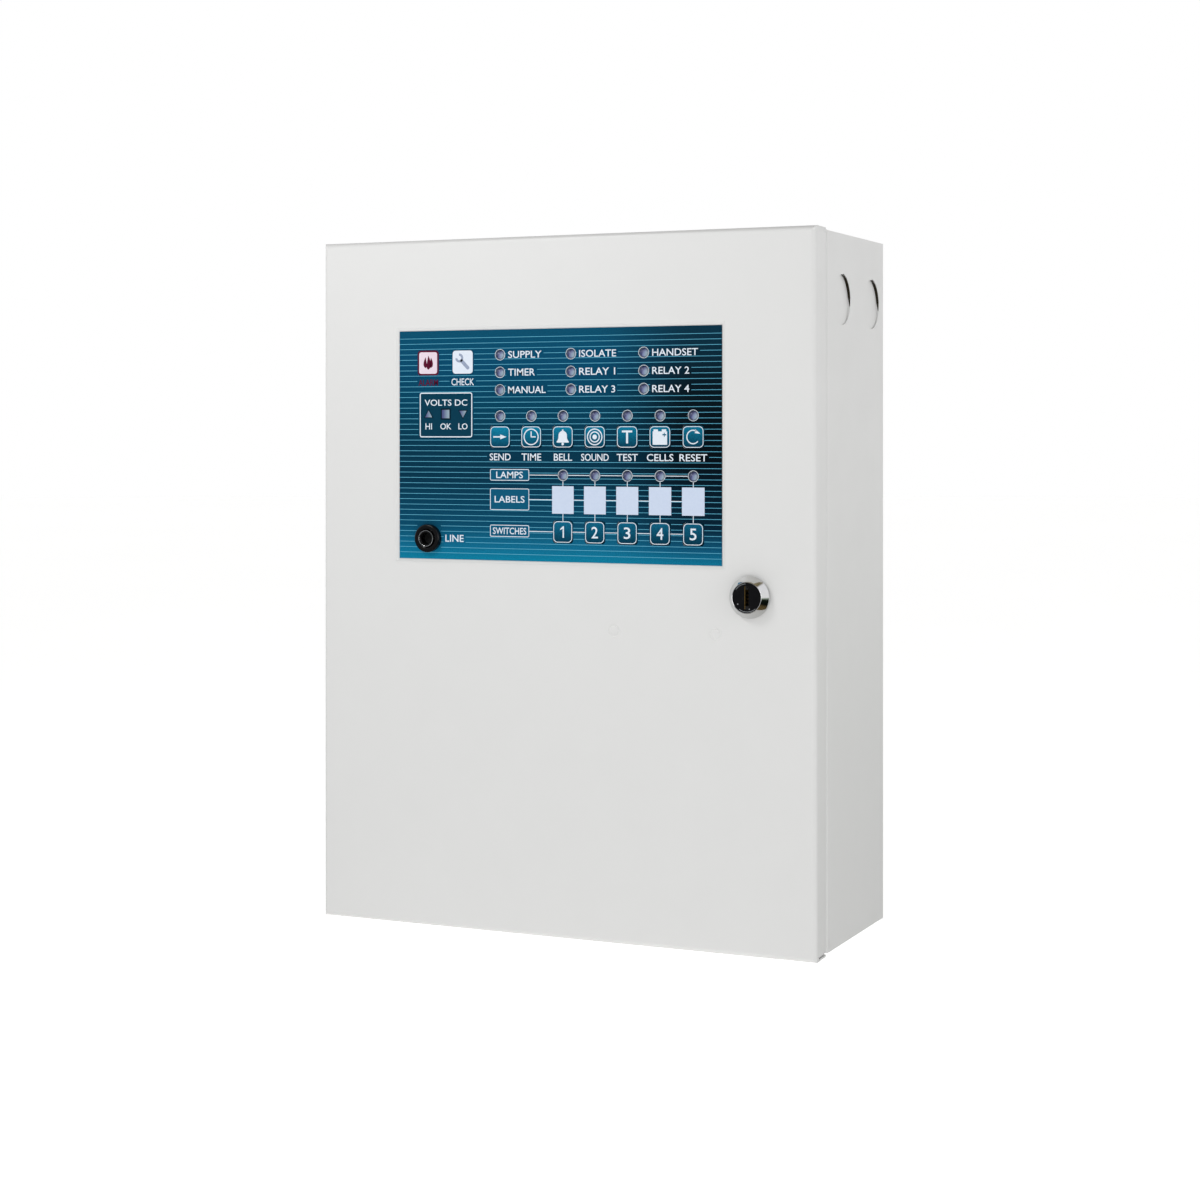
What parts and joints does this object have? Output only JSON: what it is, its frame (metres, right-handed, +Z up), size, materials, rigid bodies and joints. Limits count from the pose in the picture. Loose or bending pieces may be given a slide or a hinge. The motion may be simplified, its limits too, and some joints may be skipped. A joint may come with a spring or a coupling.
{
  "type": "fire alarm control panel",
  "caption": "Wall-mounted fire alarm control panel: folded white steel cabinet, hinged door with printed key overlay and cam lock, power supply and batteries inside.",
  "frame": {"origin": "centre of the four wall bolt holes, on the plane of the wall", "axes": "+Z up, +Y into the wall, +X to the right as seen from in front; the door faces -Y"},
  "size_m": [0.297, 0.1295, 0.385],
  "materials": {
    "powder_coat": "warm white textured powder coat",
    "zinc_plate": "bright zinc plate",
    "brass": "plain turned brass",
    "core_steel": "varnished laminations",
    "coil_tape": "yellow polyester tape",
    "terminal_plastic": "moulded cream nylon",
    "fuse_glass": "glass fuse on a clip base",
    "circuit_board": "green solder mask on glass epoxy",
    "anodised_black": "black anodised aluminium",
    "black_resin": "moulded black resin",
    "capacitor_sleeve": "shrunk vinyl sleeve",
    "battery_case": "moulded ABS case",
    "lead_sleeve": "PVC insulation",
    "overlay_film": "printed polycarbonate film",
    "lamp_lens": "clear epoxy over a dark die",
    "window_lens": "milky diffusing lens",
    "label_card": "white write-on label",
    "jack_black": "moulded black nylon",
    "relay_case": "moulded blue case",
    "lock_chrome": "chrome-plated zinc casting",
    "lock_plug_black": "black plated plug"
  },
  "bodies": {
    "cabinet": {"cabinet_shell": "powder_coat", "hinge_ears": "zinc_plate", "earth_stud": "brass", "transformer_core": "core_steel", "transformer_coil": "coil_tape", "transformer_frame": "zinc_plate", "mains_terminals": "terminal_plastic", "fuse_holders": "fuse_glass", "charger_board": "circuit_board", "charger_fixings": "zinc_plate", "charger_heatsink": "anodised_black", "charger_regulators": "black_resin", "charger_capacitors": "capacitor_sleeve", "charger_connectors": "terminal_plastic", "battery_left": "battery_case", "battery_right": "battery_case", "battery_terminals": "zinc_plate", "battery_bracket": "powder_coat", "battery_leads": "lead_sleeve", "field_terminals": "black_resin", "terminal_screws": "zinc_plate", "supply_leads": "lead_sleeve"},
    "door": {"door_shell": "powder_coat", "overlay_panel": "overlay_film", "indicator_leds": "lamp_lens", "fire_window": "window_lens", "fault_window": "window_lens", "voltmeter_lamps": "lamp_lens", "zone_name_labels": "label_card", "phone_jack": "jack_black", "phone_jack_nut": "jack_black", "main_board": "circuit_board", "board_fixings": "zinc_plate", "tact_switches": "black_resin", "board_chips": "black_resin", "door_relays": "relay_case", "board_buzzer": "black_resin", "board_connectors": "terminal_plastic", "relay_board": "circuit_board", "hinge_brackets": "zinc_plate", "hinge_pins": "zinc_plate", "lock_barrel": "lock_chrome", "lock_nut": "lock_chrome", "door_loom": "lead_sleeve"},
    "lock": {"lock_plug": "lock_plug_black", "lock_cam": "zinc_plate", "lock_screw": "zinc_plate"},
    "key_output": {"key_output": "overlay_film"},
    "key_delay": {"key_delay": "overlay_film"},
    "key_bell": {"key_bell": "overlay_film"},
    "key_buzzer": {"key_buzzer": "overlay_film"},
    "key_test": {"key_test": "overlay_film"},
    "key_battery_test": {"key_battery_test": "overlay_film"},
    "key_reset": {"key_reset": "overlay_film"},
    "key_zone_1": {"key_zone_1": "overlay_film"},
    "key_zone_2": {"key_zone_2": "overlay_film"},
    "key_zone_3": {"key_zone_3": "overlay_film"},
    "key_zone_4": {"key_zone_4": "overlay_film"},
    "key_zone_5": {"key_zone_5": "overlay_film"}
  },
  "joints": [
    {"name": "door_hinge", "type": "hinge", "parent": "cabinet", "child": "door", "pos_m": [-0.1445, -0.1125, 0], "axis": [0, 0, -1], "range_deg": [0, 110], "deforming": ["door_loom"]},
    {"name": "lock_turn", "type": "hinge", "parent": "door", "child": "lock", "pos_m": [0.1124, -0.11, -0.0025], "axis": [0, 1, 0], "range_deg": [0, 90]},
    {"name": "press_output", "type": "slide", "parent": "door", "child": "key_output", "axis": [0, 1, 0], "range_m": [0, 0.0006], "stiffness_N_per_m": 400},
    {"name": "press_delay", "type": "slide", "parent": "door", "child": "key_delay", "axis": [0, 1, 0], "range_m": [0, 0.0006], "stiffness_N_per_m": 400},
    {"name": "press_bell", "type": "slide", "parent": "door", "child": "key_bell", "axis": [0, 1, 0], "range_m": [0, 0.0006], "stiffness_N_per_m": 400},
    {"name": "press_buzzer", "type": "slide", "parent": "door", "child": "key_buzzer", "axis": [0, 1, 0], "range_m": [0, 0.0006], "stiffness_N_per_m": 400},
    {"name": "press_test", "type": "slide", "parent": "door", "child": "key_test", "axis": [0, 1, 0], "range_m": [0, 0.0006], "stiffness_N_per_m": 400},
    {"name": "press_battery_test", "type": "slide", "parent": "door", "child": "key_battery_test", "axis": [0, 1, 0], "range_m": [0, 0.0006], "stiffness_N_per_m": 400},
    {"name": "press_reset", "type": "slide", "parent": "door", "child": "key_reset", "axis": [0, 1, 0], "range_m": [0, 0.0006], "stiffness_N_per_m": 400},
    {"name": "press_zone_1", "type": "slide", "parent": "door", "child": "key_zone_1", "axis": [0, 1, 0], "range_m": [0, 0.0006], "stiffness_N_per_m": 400},
    {"name": "press_zone_2", "type": "slide", "parent": "door", "child": "key_zone_2", "axis": [0, 1, 0], "range_m": [0, 0.0006], "stiffness_N_per_m": 400},
    {"name": "press_zone_3", "type": "slide", "parent": "door", "child": "key_zone_3", "axis": [0, 1, 0], "range_m": [0, 0.0006], "stiffness_N_per_m": 400},
    {"name": "press_zone_4", "type": "slide", "parent": "door", "child": "key_zone_4", "axis": [0, 1, 0], "range_m": [0, 0.0006], "stiffness_N_per_m": 400},
    {"name": "press_zone_5", "type": "slide", "parent": "door", "child": "key_zone_5", "axis": [0, 1, 0], "range_m": [0, 0.0006], "stiffness_N_per_m": 400}
  ]
}
